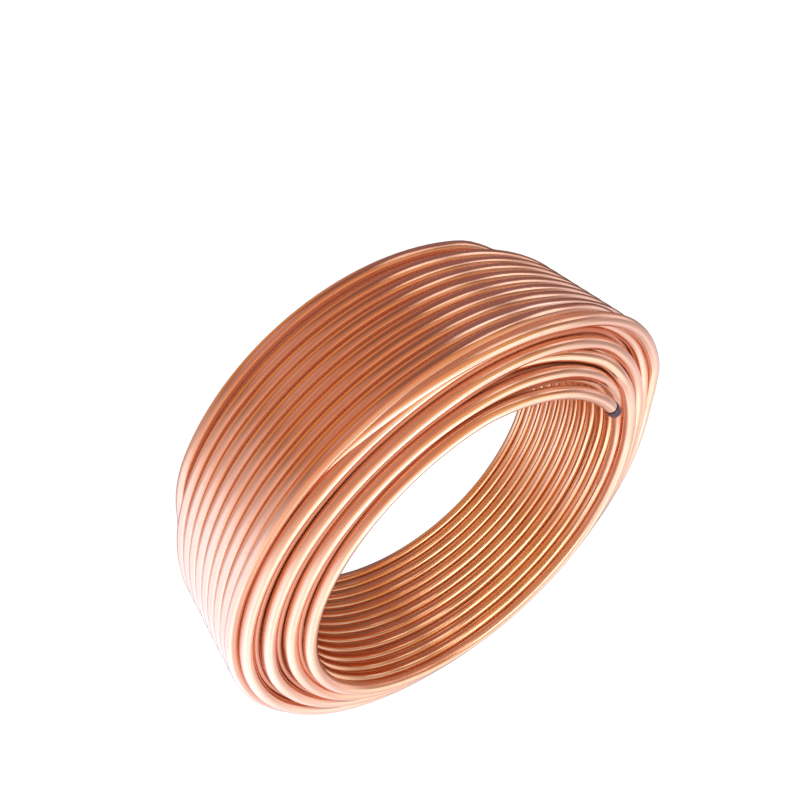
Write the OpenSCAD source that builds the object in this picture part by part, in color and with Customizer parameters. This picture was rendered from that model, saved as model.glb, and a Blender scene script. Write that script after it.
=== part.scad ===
// Level-wound coil of soft copper tube, standing on its flat end.
// Millimetres. Origin: on the floor, under the middle of the coil.
// +Z up along the coil's axis, towards the end with the tube's free end.
// The winding is one turned solid with its bore; its turns show on the
// bore wall, on the outside and on both ends.

/* [Tube] */
// outside diameter of the tube
tube_d = 9.52; // [6.35:0.01:12.7]
// wall thickness of the tube, seen at its free end
tube_wall = 0.8; // [0.6:0.05:1.2]

/* [Winding] */
// clear diameter through the innermost turns
coil_bore = 290; // [240:1:360]
// distance from one layer of turns to the next, measured outward
layer_pitch = 11.37; // [9:0.01:14]
// distance from turn to turn in the innermost layer
inner_pitch = 9.6; // [9:0.01:14]
// distance from turn to turn in the outermost layer
outer_pitch = 9.9; // [9:0.01:14]
// turns in the innermost layer
inner_turns = 13; // [8:1:18]
// turns in the outermost layer
outer_turns = 11; // [6:1:18]
// how far the grooves are filled outward from the tube centres
fill = 2.1; // [1.5:0.1:2.6]
// depth of the flat worn on the crests at the bore and on the floor
land = 0.02; // [0.01:0.01:0.05]

/* [Standing] */
// turn of the coil about its axis; sets where the free end points
stand_turn = -160; // [-180:1:180]

/* [Free end] */
// angle round the coil at which the free end rises and bends inward
tail_bend_at = 45; // [35:1:55]
// bend radius of the free end
tail_bend_r = 128; // [115:1:135]
// angle of that bend
tail_bend = 53; // [45:1:56]
// slope at which the free end rises
tail_tilt = 4.8; // [4.4:0.1:5.6]

/* [Plug] */
// diameter of the plug's head
plug_d = 10.6; // [9:0.1:13]
// length of the plug's head
plug_head = 9.6; // [6:0.1:12]
// length of the stem pushed into the tube
plug_stem = 10; // [6:0.5:14]
// gap round the stem, on the radius
plug_gap = 0.1; // [0.05:0.01:0.2]

/* [Hidden] */
layers = 5;
rt = tube_d / 2;
bore_r = coil_bore / 2;
r_in = bore_r + rt - land;              // centre radius of the innermost layer
function layer_r(k) = r_in + k * layer_pitch;
z_low = rt - land;                      // centre height of the lowest turns
z_in = z_low + (inner_turns - 1) * inner_pitch;
z_out = z_low + (outer_turns - 1) * outer_pitch;
function layer_top(k) = z_in + (z_out - z_in) * k / (layers - 1);
tail_lift = 0.8;                         // step up where the free end rises
stem_r = rt - tube_wall - plug_gap;

// turns the part about its axis
module stand() {
  rotate([0, 0, stand_turn]) children();
}

module turn_section(r, z) {
  translate([r, z]) circle(r = rt, $fn = 48);
}

// half section of the whole winding, in (radius, height)
module winding_section() {
  difference() {
    union() {
      for (i = [0 : inner_turns - 1]) turn_section(r_in, z_low + i * inner_pitch);
      for (i = [0 : outer_turns - 1])
        turn_section(layer_r(layers - 1), z_low + i * outer_pitch);
      for (k = [1 : layers - 2]) {
        turn_section(layer_r(k), z_low);
        turn_section(layer_r(k), layer_top(k));
      }
      polygon([
        [r_in - fill, z_low - fill],
        [layer_r(layers - 1) + fill, z_low - fill],
        [layer_r(layers - 1) + fill, z_out + fill],
        [r_in - fill, z_in + fill]
      ]);
    }
    // flats worn on the crests at the bore and on the floor
    translate([bore_r - 20, -20]) square([20, z_in + 40]);
    translate([bore_r - 30, -20]) square([layer_r(layers) - bore_r + 60, 20]);
  }
}

// a length of round bar or bore bent about Z, from angle a0 over a1 degrees
module bent(r, bend_r, a0, a1) {
  rotate([0, 0, a0])
    rotate_extrude(angle = a1, $fn = 180)
      translate([bend_r, 0]) circle(r = r, $fn = 48);
}

// tilts its children about the line from the axis to where the free end rises
module tail_plane() {
  translate([0, 0, z_in + tail_lift])
    rotate([0, 0, tail_bend_at]) rotate([-tail_tilt, 0, 0]) rotate([0, 0, -tail_bend_at]) children();
}

// moves its children to the centre of the bend
module bend_centre() {
  translate([(r_in - tail_bend_r) * cos(tail_bend_at),
             (r_in - tail_bend_r) * sin(tail_bend_at), 0]) children();
}

module tail_solid() {
  tail_plane()
    bend_centre()
      bent(rt, tail_bend_r, tail_bend_at - tail_bend, tail_bend);
}

module tail_bore() {
  tail_plane()
    bend_centre()
      bent(rt - tube_wall, tail_bend_r, tail_bend_at - tail_bend - 2, 18);
}

module tube_coil() {
  color([0.80, 0.44, 0.30])
    stand() difference() {
      union() {
        rotate_extrude($fn = 180) winding_section();
        tail_solid();
      }
      tail_bore();
    }
}

// stem and domed head; the head's underside bears on the tube's end
module end_plug() {
  color([0.06, 0.05, 0.07])
    stand() tail_plane()
      bend_centre()
        rotate([0, 0, tail_bend_at - tail_bend]) {
          rotate_extrude(angle = plug_stem / tail_bend_r * 180 / PI, $fn = 180)
            translate([tail_bend_r, 0]) circle(r = stem_r, $fn = 48);
          translate([tail_bend_r, 0, 0])
            rotate([90, 0, 0])
              rotate_extrude($fn = 64)
                intersection() {
                  square([plug_d / 2, plug_head]);
                  union() {
                    square([plug_d, plug_head - plug_d * 0.4]);
                    translate([0, plug_head - plug_d * 0.62])
                      circle(r = plug_d * 0.62, $fn = 64);
                  }
                }
        }
}

tube_coil();
end_plug();
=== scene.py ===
import math

import bpy
import numpy as np
from mathutils import Euler, Matrix, Vector


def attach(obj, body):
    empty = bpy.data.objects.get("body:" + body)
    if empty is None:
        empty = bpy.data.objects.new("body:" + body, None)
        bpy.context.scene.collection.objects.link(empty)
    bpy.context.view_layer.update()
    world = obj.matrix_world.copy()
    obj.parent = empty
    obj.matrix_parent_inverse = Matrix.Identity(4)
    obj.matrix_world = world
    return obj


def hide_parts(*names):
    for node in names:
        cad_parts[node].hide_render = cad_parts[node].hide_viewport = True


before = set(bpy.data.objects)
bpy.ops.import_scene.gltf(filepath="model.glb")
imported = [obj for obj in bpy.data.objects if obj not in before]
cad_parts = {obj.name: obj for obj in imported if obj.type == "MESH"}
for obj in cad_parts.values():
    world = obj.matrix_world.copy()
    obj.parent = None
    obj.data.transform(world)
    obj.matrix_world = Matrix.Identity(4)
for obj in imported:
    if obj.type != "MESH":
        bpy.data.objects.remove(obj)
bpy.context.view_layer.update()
scene = bpy.context.scene

# ---------------------------------------------------------------- camera
# It is rolled: the picture shows the coil turned onto its rim.
cam_data = bpy.data.cameras.new("camera")
cam = bpy.data.objects.new("camera", cam_data)
scene.collection.objects.link(cam)
cam_data.sensor_width = 36.0
cam_data.lens = 29.763
cam.location = (0.00147, -0.47909, 0.32551)
cam.rotation_euler = Euler([math.radians(v) for v in (-42.8275, -34.4433, 153.0)], "XYZ")
scene.camera = cam

# ---------------------------------------------------------------- the winding
# Places on the coil are (r, z, a): radius and height in mm, and the angle in
# degrees round the axis, counted from TURN behind the row's +X axis.
TURN = -207.0
STAND = -160.0  # the same turn, for the free end's own angles
RT = 4.76
R = [149.74, 161.11, 172.48, 183.85, 195.22]
TOP = [119.94, 115.89, 111.84, 107.79, 103.74]
LOW = 4.74


def place(r, z, a):
    t = np.radians(np.asarray(a, float) + TURN)
    r = np.asarray(r, float) / 1000
    return np.stack([r * np.cos(t), r * np.sin(t), np.asarray(z, float) / 1000], -1)


def wave(a, seed, amp):
    """Small smooth unevenness along a turn, the same at every run."""
    rng = np.random.RandomState(seed)
    a = np.radians(a)
    out = np.zeros_like(a)
    for k in (1, 2, 3, 5, 8):
        out += rng.normal() / k ** 0.6 * np.sin(k * a + rng.uniform(0, 2 * math.pi))
    return amp * out / 1.6


def smooth(knots, a):
    """Cubic curve through (a, value) knots, without overshoot."""
    x = np.array([k[0] for k in knots], float)
    y = np.array([k[1] for k in knots], float)
    h = np.diff(x)
    d = np.diff(y) / h
    m = np.zeros_like(y)
    m[0], m[-1] = d[0], d[-1]
    for i in range(1, len(x) - 1):
        if d[i - 1] * d[i] > 0:
            w1, w2 = 2 * h[i] + h[i - 1], h[i] + 2 * h[i - 1]
            m[i] = (w1 + w2) / (w1 / d[i - 1] + w2 / d[i])
    a = np.clip(a, x[0], x[-1])
    i = np.clip(np.searchsorted(x, a, side="right") - 1, 0, len(h) - 1)
    t = (a - x[i]) / h[i]
    return (
        y[i] * (2 * t ** 3 - 3 * t ** 2 + 1)
        + h[i] * m[i] * (t ** 3 - 2 * t ** 2 + t)
        + y[i + 1] * (-2 * t ** 3 + 3 * t ** 2)
        + h[i] * m[i + 1] * (t ** 3 - t ** 2)
    )


class Tubes:
    """Collects swept tubes into one mesh, with a UV map of (metres along, turn round)."""

    def __init__(self):
        self.v, self.f, self.uv, self.n, self.start = [], [], [], 0, 0.0

    def sweep(self, pts, sides=16, closed=False, rt=RT, cap=(True, True)):
        pts = np.asarray(pts)
        n = len(pts)
        if closed:
            tan = np.roll(pts, -1, 0) - np.roll(pts, 1, 0)
        else:
            tan = np.gradient(pts, axis=0)
        tan /= np.linalg.norm(tan, axis=1, keepdims=True)
        out = pts * [1, 1, 0]
        out /= np.linalg.norm(out, axis=1, keepdims=True)
        out -= (out * tan).sum(1, keepdims=True) * tan
        out /= np.linalg.norm(out, axis=1, keepdims=True)
        up = np.cross(tan, out)
        ang = np.arange(sides) * 2 * math.pi / sides
        ring = np.cos(ang)[None, :, None] * out[:, None] + np.sin(ang)[None, :, None] * up[:, None]
        verts = pts[:, None] + ring * rt / 1000
        base = self.n
        self.v.append(verts.reshape(-1, 3))
        self.n += n * sides
        seg = np.linalg.norm(np.diff(pts, axis=0), axis=1)
        along = np.concatenate([[0], np.cumsum(seg)]) + self.start
        last = along[-1] + np.linalg.norm(pts[0] - pts[-1])
        for i in range(n if closed else n - 1):
            j = (i + 1) % n
            s0, s1 = along[i], along[j] if j else last
            for k in range(sides):
                q = (k + 1) % sides
                self.f.append((base + i * sides + k, base + i * sides + q, base + j * sides + q, base + j * sides + k))
                self.uv += [(s0, k / sides), (s0, (k + 1) / sides), (s1, (k + 1) / sides), (s1, k / sides)]
        self.start = last + 0.37
        if not closed:
            for end, on in ((0, cap[0]), (n - 1, cap[1])):
                if on:
                    loop = [base + end * sides + k for k in range(sides)]
                    self.f.append(tuple(loop if end else loop[::-1]))
                    self.uv += [(along[end], 0.5)] * sides

    def make(self, name):
        me = bpy.data.meshes.new(name)
        me.from_pydata(np.concatenate(self.v).tolist(), [], self.f)
        layer = me.uv_layers.new(name="along")
        layer.data.foreach_set("uv", np.array(self.uv, np.float32).ravel())
        me.polygons.foreach_set("use_smooth", [True] * len(me.polygons))
        me.validate()
        me.update()
        ob = bpy.data.objects.new(name, me)
        scene.collection.objects.link(ob)
        return ob


def climb(knots, turns):
    """Repeats one turn's rise, given as (a, value) knots over 360 degrees, turn after turn."""
    rise = knots[-1][1] - knots[0][1]
    return [(a + 360 * t, v + rise * t) for t in range(turns) for a, v in knots[:-1]] + [
        (knots[0][0] + 360 * turns, knots[0][1] + rise * turns)
    ]


# --- bore layer: from the far end up to the second turn at the near rim
bore = Tubes()
one = [(350, 0), (372, 2.0), (395, 5.2), (420, 8.2), (450, 9.6), (560, 9.6), (710, 9.6)]
a = np.linspace(-30, 350 + 360 * 11, 1930)
z = smooth([(-30, LOW), (345, LOW)] + [(b, v + LOW) for b, v in climb(one, 11)], a)
z += np.interp(z, [0, 4.7, 5.6, 14, 80, 82, 91, 93, 101, 130], [0, 0, -0.1, 0.35, 0.1, -0.3, 0.45, 0.35, 0, 0])
ease = np.clip((a[-1] - a) / 90, 0, 1)
z += (wave(a, 3, 0.08) + wave(a * 1.37, 4, 0.10) * (z > 12)) * ease
z = np.maximum(z, LOW + 0.02)
r = smooth([(-30, R[1]), (60, R[0]), (5000, R[0])], a) + np.abs(wave(a * 0.83, 5, 0.14)) * ease
bore.sweep(place(r, z, a), 16, cap=(True, False))

# --- near end: the second turn leaves the bore, spirals outward over the near end and
# dives between the last two turns
near = Tubes()
spiral_r = [
    (348, 149.74), (382, 149.74), (390, 150.3), (405, 153.7), (420, 157.7), (435, 159.6), (450, 160.6), (480, 161.3),
    (510, 162.6), (525, 162.4), (540, 161.2), (560, 160), (585, 160.4), (620, 161.11), (700, 161.11), (715, 161.3),
    (732, 163.3), (742, 167.3), (750, 170.8), (765, 175), (780, 177.7), (795, 176.4), (810, 174.4), (830, 172.8),
    (850, 173.6), (870, 175.2), (900, 175.2), (920, 173.6), (950, 172.48), (1060, 172.48), (1080, 172.8), (1092, 175),
    (1102, 180.2), (1110, 184.8), (1125, 188.8), (1140, 189.2), (1155, 187.4), (1170, 185.6), (1190, 184.6), (1210, 186),
    (1230, 187.8), (1270, 188.2), (1300, 186.6), (1330, 184.8), (1425, 184.2), (1440, 184.2), (1452, 185.2), (1462, 190.4),
    (1470, 194.6), (1485, 196.3), (1500, 194.6), (1515, 192.2), (1530, 191), (1545, 190.6), (1560, 190.4), (1580, 190.2),
]
spiral_z = [
    (348, 110.34), (352, 110.34), (372, 111), (382, 112.2), (390, 114.2), (405, 118), (420, 118.6), (435, 117.9), (450, 117),
    (480, 116.2), (560, 115.89), (700, 115.89), (732, 115.6), (750, 114), (765, 113.4), (780, 112.4), (810, 112.3),
    (840, 112.1), (920, 111.84), (1060, 111.84), (1092, 110.3), (1110, 106.2), (1125, 104.4), (1140, 104.6), (1155, 105.8),
    (1170, 106.8), (1230, 107.2), (1270, 106.4), (1330, 107), (1425, 107.79), (1452, 108), (1462, 108.2), (1470, 109),
    (1485, 108.8), (1500, 110.2), (1515, 111.2), (1530, 110.6), (1545, 108.2), (1560, 104), (1580, 97),
]
a = np.arange(348, 1580.1, 1.8)
near.sweep(place(smooth(spiral_r, a), smooth(spiral_z, a) + wave(a, 11, 0.08) * np.clip((a - 380) / 60, 0, 1), a), 20, cap=(False, True))

# --- the free end: its last stretch rises and bends inward; behind it comes one turn round
# the near rim, which then goes down between the others
BEND_AT, BEND_R, BEND, TILT, LIFT = 45.0, 128.0, 53.0, math.radians(4.8), 0.8


def tail_frame(pts):
    """Points in mm in the free end's own tilted plane, turned into metres in the row frame."""
    f, g = math.radians(BEND_AT), math.radians(STAND)
    u = pts[:, 0] * math.cos(f) + pts[:, 1] * math.sin(f)
    v = -pts[:, 0] * math.sin(f) + pts[:, 1] * math.cos(f)
    z = -v * math.sin(TILT) + pts[:, 2] * math.cos(TILT) + TOP[0] + LIFT
    v = v * math.cos(TILT) + pts[:, 2] * math.sin(TILT)
    x, y = u * math.cos(f) - v * math.sin(f), u * math.sin(f) + v * math.cos(f)
    return np.stack([x * math.cos(g) - y * math.sin(g), x * math.sin(g) + y * math.cos(g), z], -1) / 1000


BEND_MID = (R[0] - BEND_R) * np.array([math.cos(math.radians(BEND_AT)), math.sin(math.radians(BEND_AT))])


def free_end():
    """Centre line of the rising free end, from its tip."""
    t = np.radians(np.arange(BEND_AT - BEND, BEND_AT - 0.5, 1.8))
    return tail_frame(np.stack([BEND_MID[0] + BEND_R * np.cos(t), BEND_MID[1] + BEND_R * np.sin(t), 0 * t], -1))


over_r = [
    (92, 149.74), (262, 149.74), (350, 149.74), (362, 149.9), (372, 150.6), (382, 152.1), (390, 154.8), (405, 162.2),
    (420, 168), (435, 168), (450, 166.9), (462, 166.9),
]
over_z = [
    (92, 120.74), (94.5, 120.2), (98, 119.92), (110, 119.83), (262, 119.83), (300, 119.83), (350, 119.85), (372, 120.8), (382, 121.6), (390, 122), (405, 121.4),
    (420, 116), (435, 110.6), (450, 106.8), (462, 105.4),
]
a = np.arange(92.6, 462.1, 1.8)
tip = free_end()
near.sweep(np.concatenate([tip, place(smooth(over_r, a), smooth(over_z, a), a)]), 20, cap=(False, True))

# --- one more crossing shows low between two turns
a = np.arange(2, 74.1, 1.8)
near.sweep(place(smooth([(2, 155.3), (12, 155.6), (22, 157.4), (30, 160.3), (45, 165.6), (60, 171.6), (74, 172)], a), smooth([(2, 110), (12, 112.2), (22, 113.6), (30, 114.2), (45, 112), (60, 108), (74, 103)], a), a), 20)

# --- outer layer: starts under the last crossing and goes down to the far end
outer = Tubes()
first_z = [(1476, 97), (1490, 99), (1505, 101.5), (1530, 104.3), (1560, 103), (1590, 101.6), (1625, 99.6), (1650, 99.2), (1685, 101.4), (1730, 103.4), (1770, 102.8), (1800, 101.2), (1845, 97), (1890, 95.2)]
z90 = [104.3, 95.2, 85.3, 75.3, 65.3, 55.0, 44.0, 33.5, 22.0, 10.0]
ok = first_z[:-2]
for i in range(1, 10):
    b = 90 + 360 * (i + 4)
    drop = z90[i - 1] - z90[i]
    if i > 1:
        ok.append((b - 150, z90[i - 1] - 0.36 * drop))
    ok += [(b - 60, z90[i] + 0.28 * drop), (b, z90[i]), (b + 38, z90[i] - 0.06 * drop), (b + 50, z90[i] - 0.15 * drop)]
b = 90 + 360 * 13
ok = ok[:-4] + [(b - 150, 16.2), (b - 60, 14.9), (b - 40, 12.0), (b - 15, 7.2), (b + 10, 6.2), (b + 60, 6.0), (b + 90, 6.0)]
a = np.arange(1476, b + 86, 2.25)
zo = smooth(ok, a) + wave(a, 22, 0.08)
ro = R[4] + smooth([(1476, -7.2), (1490, -3.2), (1505, -0.2), (1530, 0), (b + 90, 0)], a) - np.abs(wave(a * 0.71, 21, 0.08)) - 0.02
ro -= smooth([(1476, 0), (b - 70, 0), (b - 45, 7.5), (b - 32, 7.5), (b - 14, 0), (b + 58, 0), (b + 86, 10.5)], a)
ro -= 1.2 * np.exp(-(((a % 360) - 215) / 38.0) ** 2)
outer.sweep(place(ro, np.maximum(zo, LOW + 0.02), a), 16)

# --- the turns inside, seen only through the gaps, and the far end
inner = Tubes()
a = np.arange(0, 360, 3.0)
for k in (1, 2, 3):
    for i in range(10):
        z = LOW + 0.04 + (TOP[k] - 10.4 - LOW) * i / 10
        inner.sweep(place(R[k] + 0 * a, z + 0 * a, a), 12 if i == 0 else 8, closed=True)
for r, z in ((157.4, 107.2), (166.6, 105.6), (178.6, 102.2), (187.0, 97.4)):
    inner.sweep(place(r + 0 * a, z + 0 * a, a), 16, closed=True)
# and low between each two turns of the near end, following them
a = np.arange(349, 1219.1, 3.0)
r1, z1, r2, z2 = smooth(spiral_r, a), smooth(spiral_z, a), smooth(spiral_r, a + 360), smooth(spiral_z, a + 360)
deep = 1.2 + 1.2 * np.maximum(0, np.hypot(r2 - r1, z2 - z1) - 13)  # lower where they part
inner.sweep(place((r1 + r2) / 2, (z1 + z2) / 2 - deep, a), 10, rt=2.1)
a = np.arange(449, 702.1, 3.0)
inner.sweep(place((R[0] + smooth(spiral_r, a)) / 2, (119.83 + smooth(spiral_z, a)) / 2 - 1.3 - 4 * np.clip((471 - a) / 22, 0, 1) - 4 * np.clip((a - 680) / 22, 0, 1), a), 10, rt=1.9)


def core(section, n=180):
    """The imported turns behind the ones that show, as a plain ring with this (radius, height) section."""
    base, m = inner.n, len(section)
    for i in range(n):
        inner.v.append(np.stack([place(r, z, 360 * i / n) for r, z in section]))
    inner.n += n * m
    for i in range(n):
        for k in range(m):
            q, j = (k + 1) % m, (i + 1) % n
            inner.f.append((base + i * m + k, base + i * m + q, base + j * m + q, base + j * m + k))
            inner.uv += [(i * 0.006, k / m), (i * 0.006, (k + 1) / m), (i * 0.006 + 0.006, (k + 1) / m), (i * 0.006 + 0.006, k / m)]


core([
    (150.2, 6), (194.6, 6), (194.6, 92), (191.2, 92.6), (190.6, 102.6), (189.4, 103), (188.6, 94), (180.6, 96), (179.9, 107.2), (179.1, 107.7),
    (178.2, 96), (168.6, 98), (167.6, 111.2), (166.9, 111.6), (166.0, 98), (156.8, 100), (155.9, 114.1), (155.3, 114.4), (154.4, 101), (151, 104),
    (150.8, 117), (150.2, 117),
])

pieces = [bore.make("tube_bore_turns"), near.make("tube_near_end"), outer.make("tube_outer_turns"), inner.make("tube_inner_turns")]


# --- the plug: a domed head on the tube's end, with a small tongue of it lying back along the tube
def plug_mesh():
    e = math.radians(BEND_AT - BEND)
    end = np.array([*(BEND_MID + BEND_R * np.array([math.cos(e), math.sin(e)])), 0.0])
    ahead = np.array([math.sin(e), -math.cos(e), 0.0])
    side = np.array([math.cos(e), math.sin(e), 0.0])
    up = np.array([0.0, 0.0, 1.0])
    prof = [(-2.4, 4.86), (-2.3, 5.15), (-1.8, 5.28), (0.0, 5.3), (3.0, 5.3), (5.4, 5.28), (6.9, 5.1), (7.9, 4.55), (8.7, 3.65), (9.2, 2.6), (9.5, 1.3), (9.58, 0.0)]
    n = 40
    v, fc = [], []
    for s, r in prof:
        for k in range(n):
            q = 2 * math.pi * k / n
            # the skirt is longer where it lies against the inside of the bend
            tongue = max(0.0, math.cos(q - math.radians(222))) ** 10
            d = s - (5.2 * tongue if s < -1 else 0.0)
            w = r * (1 + 0.012 * math.sin(3 * q + s)) if s < 8 else r
            w = min(w, 5.3)
            v.append(end + ahead * d + side * w * math.cos(q) + up * w * math.sin(q))
    for i in range(len(prof) - 1):
        for k in range(n):
            m = (k + 1) % n
            fc.append((i * n + k, i * n + m, (i + 1) * n + m, (i + 1) * n + k))
    fc.append(tuple(range(n))[::-1])
    pts = tail_frame(np.array(v))
    me = bpy.data.meshes.new("plug")
    me.from_pydata(pts.tolist(), [], fc)
    me.polygons.foreach_set("use_smooth", [True] * len(me.polygons))
    me.validate()
    me.update()
    ob = bpy.data.objects.new("plug", me)
    scene.collection.objects.link(ob)
    return ob


plug = plug_mesh()


# ---------------------------------------------------------------- materials
def add(nt, kind, inputs=None, **values):
    n = nt.nodes.new(kind)
    for k, v in values.items():
        setattr(n, k, v)
    for k, v in (inputs or {}).items():
        if isinstance(v, bpy.types.NodeSocket):
            nt.links.new(v, n.inputs[k])
        else:
            n.inputs[k].default_value = v
    return n


def ramp(nt, fac, stops):
    n = add(nt, "ShaderNodeValToRGB", {0: fac})
    cr = n.color_ramp
    while len(cr.elements) < len(stops):
        cr.elements.new(0.5)
    for e, (at, col) in zip(cr.elements, stops):
        e.position = at
        e.color = (*col, 1) if isinstance(col, tuple) else (col, col, col, 1)
    return n.outputs[0]


def copper(name, touch, unshaded=True, tints=None, groove_shade=0.8):
    """Drawn copper: faint long streaks, slow changes of tint, light handling marks, and painted shade: a darker, less
    metallic line where turns touch, above and below (touch "over") or beside one another (touch "side"). With
    unshaded=False the tints are darker and the copper less metallic, which is painted shade on the turns that lie
    inside."""
    m = bpy.data.materials.new(name)
    m.use_nodes = True
    nt = m.node_tree
    b = nt.nodes["Principled BSDF"]
    uv = add(nt, "ShaderNodeUVMap", uv_map="along").outputs[0]
    sep = add(nt, "ShaderNodeSeparateXYZ", {0: uv})
    turn_ = add(nt, "ShaderNodeMath", {0: sep.outputs[1], 1: 2 * math.pi}, operation="MULTIPLY").outputs[0]
    co = add(nt, "ShaderNodeMath", {0: turn_}, operation="COSINE").outputs[0]
    si = add(nt, "ShaderNodeMath", {0: turn_}, operation="SINE").outputs[0]
    # (metres along, two round-the-tube axes): the streaks close on themselves round the tube
    lines = add(nt, "ShaderNodeCombineXYZ", {0: sep.outputs[0], 1: co, 2: si}).outputs[0]
    streak = add(nt, "ShaderNodeVectorMath", {0: lines, 1: (3.0, 1.0, 1.0)}, operation="MULTIPLY").outputs[0]
    fine = add(nt, "ShaderNodeTexNoise", {"Vector": streak, "Scale": 3.6, "Detail": 2.0, "Roughness": 0.65}).outputs[0]
    obj = add(nt, "ShaderNodeTexCoord").outputs["Object"]
    slow = add(nt, "ShaderNodeTexNoise", {"Vector": obj, "Scale": 9.0, "Detail": 1.0}).outputs[0]
    run = add(nt, "ShaderNodeVectorMath", {0: lines, 1: (2.4, 0.35, 0.35)}, operation="MULTIPLY").outputs[0]
    tint = add(nt, "ShaderNodeTexNoise", {"Vector": run, "Scale": 1.6, "Detail": 2.0}).outputs[0]
    mixed = add(nt, "ShaderNodeMix", {0: 0.45, 2: slow, 3: tint}, data_type="FLOAT").outputs[0]
    deep, mid, pale = tints or (COPPER_DEEP, COPPER, COPPER_PALE)
    base = ramp(nt, mixed, [(0.30, deep), (0.52, mid), (0.72, pale)])
    spots = add(nt, "ShaderNodeTexNoise", {"Vector": obj, "Scale": 150.0, "Detail": 1.0}).outputs[0]
    wear = ramp(nt, spots, [(0.60, 0.0), (0.74, 1.0)])
    worn = add(nt, "ShaderNodeMix", {"Factor": add(nt, "ShaderNodeMath", {0: wear, 1: 0.10}, operation="MULTIPLY").outputs[0], 6: base, 7: (0.62, 0.27, 0.16, 1)}, data_type="RGBA").outputs[2]
    # painted shade: a darker, less metallic line along each turn where it touches its neighbours, as strong as
    # groove_shade
    near_ = add(nt, "ShaderNodeMath", {0: si if touch == "over" else co}, operation="ABSOLUTE").outputs[0]
    line = add(nt, "ShaderNodeMapRange", {0: near_, 1: 0.78, 2: 0.97, 3: 0.0, 4: groove_shade}, interpolation_type="SMOOTHSTEP").outputs[0]
    line = add(nt, "ShaderNodeMath", {0: line, 1: add(nt, "ShaderNodeMapRange", {0: tint, 1: 0.3, 2: 0.7, 3: 0.7, 4: 1.0}).outputs[0]}, operation="MULTIPLY").outputs[0]
    groove_shaded = add(nt, "ShaderNodeMix", {"Factor": line, 6: worn, 7: (0.64, 0.21, 0.09, 1)}, data_type="RGBA").outputs[2]
    nt.links.new(groove_shaded, b.inputs["Base Color"])
    # unshaded=False gives the painted-shade copy: less metal and rougher
    metal = (1.0, 0.40) if unshaded else (0.5, 0.30)
    nt.links.new(add(nt, "ShaderNodeMapRange", {0: line, 1: 0.0, 2: 0.8, 3: metal[0], 4: metal[1]}).outputs[0], b.inputs["Metallic"])
    rough = add(nt, "ShaderNodeMapRange", {0: fine, 1: 0.3, 2: 0.7, 3: ROUGH[0] if unshaded else 0.26, 4: ROUGH[1] if unshaded else 0.36}).outputs[0]
    rough2 = add(nt, "ShaderNodeMath", {0: rough, 1: add(nt, "ShaderNodeMath", {0: wear, 1: 0.05}, operation="MULTIPLY").outputs[0]}, operation="ADD").outputs[0]
    nt.links.new(rough2, b.inputs["Roughness"])
    bump = add(nt, "ShaderNodeBump", {"Height": fine, "Strength": 0.22, "Distance": 0.0008})
    nt.links.new(bump.outputs[0], b.inputs["Normal"])
    return m


def plastic():
    m = bpy.data.materials.new("plug_plastic")
    m.use_nodes = True
    nt = m.node_tree
    b = nt.nodes["Principled BSDF"]
    obj = add(nt, "ShaderNodeTexCoord").outputs["Object"]
    n1 = add(nt, "ShaderNodeTexNoise", {"Vector": obj, "Scale": 260.0, "Detail": 3.0}).outputs[0]
    nt.links.new(ramp(nt, n1, [(0.3, (0.030, 0.008, 0.018)), (0.7, (0.110, 0.045, 0.060))]), b.inputs["Base Color"])
    nt.links.new(add(nt, "ShaderNodeMapRange", {0: n1, 1: 0.3, 2: 0.7, 3: 0.16, 4: 0.30}).outputs[0], b.inputs["Roughness"])
    b.inputs["IOR"].default_value = 1.22
    b.inputs["Specular IOR Level"].default_value = 0.5
    bump = add(nt, "ShaderNodeBump", {"Height": n1, "Strength": 0.10, "Distance": 0.0003})
    nt.links.new(bump.outputs[0], b.inputs["Normal"])
    return m


COPPER, COPPER_DEEP, COPPER_PALE = (0.95, 0.51, 0.32), (0.93, 0.44, 0.24), (0.96, 0.57, 0.40)
ROUGH = (0.14, 0.23)
# warmer, more golden copper for the bore: painted reflection of the warm light bounced round inside the coil
BORE_REFLECTION_TINTS = ((0.93, 0.44, 0.21), (0.95, 0.52, 0.28), (0.96, 0.59, 0.36))
coppers = (
    copper("copper_tube_bore", "over", tints=BORE_REFLECTION_TINTS, groove_shade=0.3),
    copper("copper_tube_end", "side", groove_shade=0.7),
    copper("copper_tube", "over", groove_shade=0.7),
    # darker, redder tints and less metal: painted shade on the inside turns, the gap fillers and the core
    copper("copper_tube_inside", "over", unshaded=False, tints=((0.80, 0.30, 0.16), (0.88, 0.37, 0.21), (0.92, 0.45, 0.28))),
)
for p, mat in zip(pieces, coppers):
    p.data.materials.append(mat)
    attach(p, "root")
    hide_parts("tube_coil")
plug.data.materials.append(plastic())
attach(plug, "root")
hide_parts("end_plug")


# ---------------------------------------------------------------- stage and light
# floor with a wide curve up all round, one sheet
prof = [(2.5 + 1.5 * math.sin(q), 1.5 - 1.5 * math.cos(q)) for q in np.linspace(0, math.pi / 2, 13)] + [(4.0, 6.0)]
vs = [(r * math.cos(q), r * math.sin(q), z) for r, z in prof for q in np.arange(72) * math.pi / 36]
sheet = [tuple(range(72))]
for i in range(len(prof) - 1):
    sheet += [(72 * i + k, 72 * i + 72 + k, 72 * i + 72 + (k + 1) % 72, 72 * i + (k + 1) % 72) for k in range(72)]
me = bpy.data.meshes.new("floor")
me.from_pydata(vs, [], sheet)
me.polygons.foreach_set("use_smooth", [True] * len(me.polygons))
floor = bpy.data.objects.new("floor", me)
scene.collection.objects.link(floor)
fm = bpy.data.materials.new("floor_white")
fm.use_nodes = True
b = fm.node_tree.nodes["Principled BSDF"]
b.inputs["Base Color"].default_value = (0.06, 0.06, 0.06, 1)
b.inputs["Roughness"].default_value = 0.9
b.inputs["Specular IOR Level"].default_value = 0.0
b.inputs["Emission Color"].default_value = (1, 1, 1, 1)
b.inputs["Emission Strength"].default_value = 1.0
me.materials.append(fm)
floor.visible_glossy = False

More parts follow.
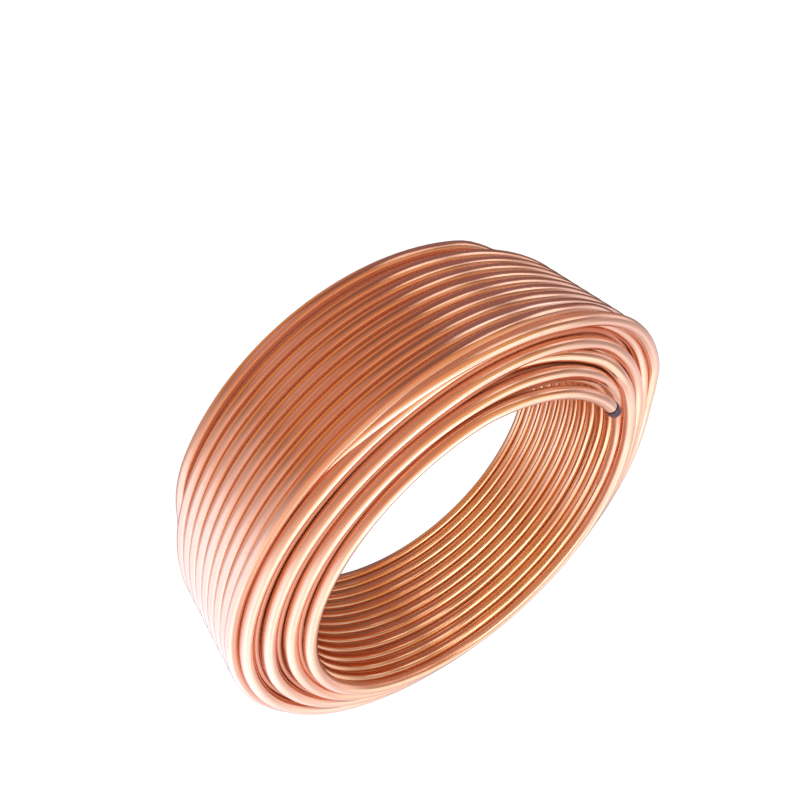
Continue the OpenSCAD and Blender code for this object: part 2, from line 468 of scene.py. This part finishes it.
# the light tent: a dim warm room with soft bright areas, each given as a direction in the
# picture (right, up, towards the viewer), its full and its outer width in degrees, and its colour
ROOM = (0.26, 0.16, 0.13)
AREAS = [
    ((-0.60, -0.72, -0.05), 20, 78, (0.64, 0.74, 0.97)),  # large, left and below
    ((-0.60, -0.72, 0.02), 24, 46, (0.42, 0.68, 1.08)),   # and brighter in its middle
    ((0.10, -0.95, 0.05), 14, 40, (0.42, 0.54, 0.62)),    # below
    ((0.20, -0.55, -0.80), 36, 62, (0.55, 0.62, 0.76)),   # below, behind
    ((0.66, -0.71, 0.12), 18, 38, (0.62, 1.05, 1.30)),    # below, right
    ((0.90, -0.10, -0.38), 18, 40, (0.26, 0.33, 0.44)),   # right, behind
    ((0.55, 0.66, 0.50), 5, 17, (1.3, 1.5, 1.8)),         # upper right, three in a row
    ((0.76, 0.60, 0.06), 5, 17, (1.3, 1.5, 1.8)),
    ((0.84, 0.42, -0.35), 6, 18, (0.6, 0.7, 0.9)),
    ((0.88, -0.05, 0.45), 8, 28, (0.16, 0.15, 0.08)),     # right
    ((0.93, -0.34, 0.10), 7, 20, (0.50, 0.70, 0.75)),     # right, a little lower
    ((0.00, 0.95, -0.25), 10, 46, (0.03, 0.03, 0.10)),    # overhead
    ((-0.75, 0.62, -0.30), 14, 46, (0.44, 0.20, 0.00)),   # upper left
    ((-0.55, 0.45, 0.70), 6, 26, (0.32, 0.25, 0.32)),     # upper left, front
    ((0.10, -0.08, 1.00), 18, 56, (0.29, 0.17, 0.15)),    # from the viewer's side
    ((0.45, -0.50, 0.74), 6, 26, (0.12, 0.09, 0.06)),     # lower right, front
    ((0.75, -0.10, 0.65), 12, 36, (0.34, 0.22, 0.06)),
    ((0.15, -0.75, 0.64), 12, 36, (0.34, 0.22, 0.06)),
]
# a small soft lamp over the near end, which draws a pale line along each turn of the bore
lamp_data = bpy.data.lights.new("lamp", "AREA")
lamp_data.shape = "DISK"
lamp_data.size = 0.17
lamp_data.energy = 0.16
lamp_data.color = (0.70, 1.0, 1.15)
lamp = bpy.data.objects.new("lamp", lamp_data)
lamp.location = (0.0, 0.0, 0.25)
lamp.visible_camera = False
scene.collection.objects.link(lamp)
turned = cam.rotation_euler.to_matrix()
world = bpy.data.worlds.new("world")
scene.world = world
world.use_nodes = True
nt = world.node_tree
gen = add(nt, "ShaderNodeTexCoord").outputs["Generated"]
dirn = add(nt, "ShaderNodeVectorMath", {0: gen}, operation="NORMALIZE").outputs[0]
total = add(nt, "ShaderNodeCombineXYZ", {0: ROOM[0], 1: ROOM[1], 2: ROOM[2]}).outputs[0]
for towards, full, wide, colour in AREAS:
    to = (turned @ Vector(towards)).normalized()
    dot = add(nt, "ShaderNodeVectorMath", {0: dirn, 1: to}, operation="DOT_PRODUCT").outputs["Value"]
    part = add(nt, "ShaderNodeMapRange", {0: dot, 1: math.cos(math.radians(wide)), 2: math.cos(math.radians(full)), 3: 0.0, 4: 1.0}, interpolation_type="SMOOTHSTEP").outputs[0]
    lit = add(nt, "ShaderNodeVectorMath", {0: colour, "Scale": part}, operation="SCALE").outputs[0]
    total = add(nt, "ShaderNodeVectorMath", {0: total, 1: lit}, operation="ADD").outputs[0]
# straight behind the coil it is dimmer, which draws the tubes' edges
dot = add(nt, "ShaderNodeVectorMath", {0: dirn, 1: turned @ Vector((0, 0, -1))}, operation="DOT_PRODUCT").outputs["Value"]
dim = add(nt, "ShaderNodeMapRange", {0: dot, 1: math.cos(math.radians(50)), 2: math.cos(math.radians(24)), 3: 1.0, 4: 0.2}, interpolation_type="SMOOTHSTEP").outputs[0]
total = add(nt, "ShaderNodeVectorMath", {0: total, "Scale": dim}, operation="SCALE").outputs[0]
nt.links.new(total, nt.nodes["Background"].inputs[0])
nt.nodes["Background"].inputs[1].default_value = 1.0
scene.view_settings.view_transform = "Standard"

print("tris", [sum(len(p.vertices) - 2 for p in o.data.polygons) for o in pieces])
